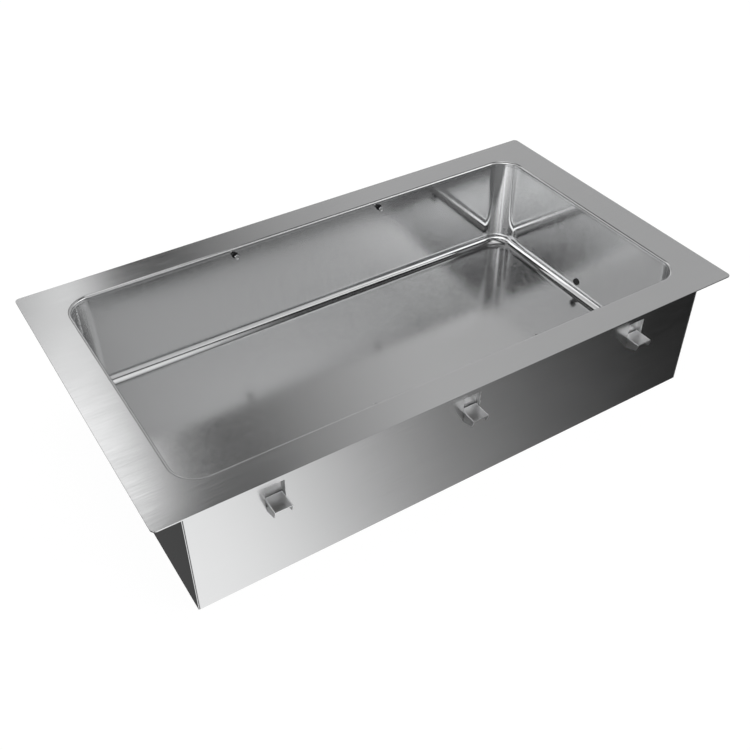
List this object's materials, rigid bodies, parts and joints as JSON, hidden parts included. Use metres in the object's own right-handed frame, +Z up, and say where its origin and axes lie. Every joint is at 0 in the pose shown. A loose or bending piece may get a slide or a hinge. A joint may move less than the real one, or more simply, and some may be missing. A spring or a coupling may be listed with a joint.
{
  "type": "bain-marie",
  "caption": "Drop-in bain-marie well: rectangular steel tank with a flat rim, heated floor, drain, folded casing and fold-out catches under the rim.",
  "frame": {"origin": "on the ground under the middle of the casing", "axes": "+Z up, +X along the long side to the end with the level probe, -Y towards the front side that the picture shows"},
  "size_m": [1.125, 0.625, 0.243],
  "materials": {
    "satin_stainless": "satin",
    "dull_stainless": "mill",
    "aluminium": "mill",
    "brass": "turned",
    "heater_sheath": "heat-darkened",
    "foam_rubber": "matt",
    "black_plastic": "matt",
    "pale_plastic": "matt",
    "mineral_wool": "fibrous"
  },
  "bodies": {
    "unit": {"rim_plate": "satin_stainless", "well_tank": "satin_stainless", "rim_seal": "foam_rubber", "front_left_bar_lug": "dull_stainless", "front_right_bar_lug": "dull_stainless", "back_left_bar_lug": "dull_stainless", "back_right_bar_lug": "dull_stainless", "front_panel": "satin_stainless", "back_panel": "satin_stainless", "left_end_panel": "satin_stainless", "right_end_panel": "satin_stainless", "front_base_rail": "dull_stainless", "back_base_rail": "dull_stainless", "base_plate": "dull_stainless", "side_insulation": "mineral_wool", "floor_insulation": "mineral_wool", "heat_spreader": "aluminium", "heater_left": "heater_sheath", "heater_middle": "heater_sheath", "heater_right": "heater_sheath", "front_heater_strap": "dull_stainless", "back_heater_strap": "dull_stainless", "control_thermostat": "black_plastic", "safety_thermostat": "black_plastic", "terminal_box": "black_plastic", "terminal_cover": "black_plastic", "terminal_block": "pale_plastic", "cable_gland": "black_plastic", "gland_nut": "black_plastic", "earth_stud": "brass", "earth_nut": "brass", "drain_body": "satin_stainless", "drain_seal": "foam_rubber", "drain_nut": "brass", "probe_bush": "black_plastic", "probe_seal": "foam_rubber", "probe_nut": "dull_stainless", "level_probe": "black_plastic", "front_left_bracket": "dull_stainless", "front_left_hinge_pin": "dull_stainless", "front_middle_bracket": "dull_stainless", "front_middle_hinge_pin": "dull_stainless", "front_right_bracket": "dull_stainless", "front_right_hinge_pin": "dull_stainless", "back_left_bracket": "dull_stainless", "back_left_hinge_pin": "dull_stainless", "back_middle_bracket": "dull_stainless", "back_middle_hinge_pin": "dull_stainless", "back_right_bracket": "dull_stainless", "back_right_hinge_pin": "dull_stainless"},
    "drain_plug": {"drain_plug": "dull_stainless"},
    "reset_pin": {"reset_pin": "pale_plastic"},
    "front_left_catch": {"front_left_catch": "satin_stainless"},
    "front_middle_catch": {"front_middle_catch": "satin_stainless"},
    "front_right_catch": {"front_right_catch": "satin_stainless"},
    "back_left_catch": {"back_left_catch": "satin_stainless"},
    "back_middle_catch": {"back_middle_catch": "satin_stainless"},
    "back_right_catch": {"back_right_catch": "satin_stainless"}
  },
  "joints": [
    {"name": "front_left_fold", "type": "hinge", "parent": "unit", "child": "front_left_catch", "pos_m": [-0.365, -0.2795, 0.167], "axis": [-1, 0, 0], "range_deg": [0, 90]},
    {"name": "front_middle_fold", "type": "hinge", "parent": "unit", "child": "front_middle_catch", "pos_m": [0, -0.2795, 0.167], "axis": [-1, 0, 0], "range_deg": [0, 90]},
    {"name": "front_right_fold", "type": "hinge", "parent": "unit", "child": "front_right_catch", "pos_m": [0.365, -0.2795, 0.167], "axis": [-1, 0, 0], "range_deg": [0, 90]},
    {"name": "back_left_fold", "type": "hinge", "parent": "unit", "child": "back_left_catch", "pos_m": [-0.365, 0.2795, 0.167], "axis": [1, 0, 0], "range_deg": [0, 90]},
    {"name": "back_middle_fold", "type": "hinge", "parent": "unit", "child": "back_middle_catch", "pos_m": [0, 0.2795, 0.167], "axis": [1, 0, 0], "range_deg": [0, 90]},
    {"name": "back_right_fold", "type": "hinge", "parent": "unit", "child": "back_right_catch", "pos_m": [0.365, 0.2795, 0.167], "axis": [1, 0, 0], "range_deg": [0, 90]},
    {"name": "drain_plug_lift", "type": "slide", "parent": "unit", "child": "drain_plug", "axis": [0, 0, 1], "range_m": [0, 0.03]},
    {"name": "reset_press", "type": "slide", "parent": "unit", "child": "reset_pin", "axis": [0, 0, 1], "range_m": [0, 0.0015], "stiffness_N_per_m": 300}
  ]
}
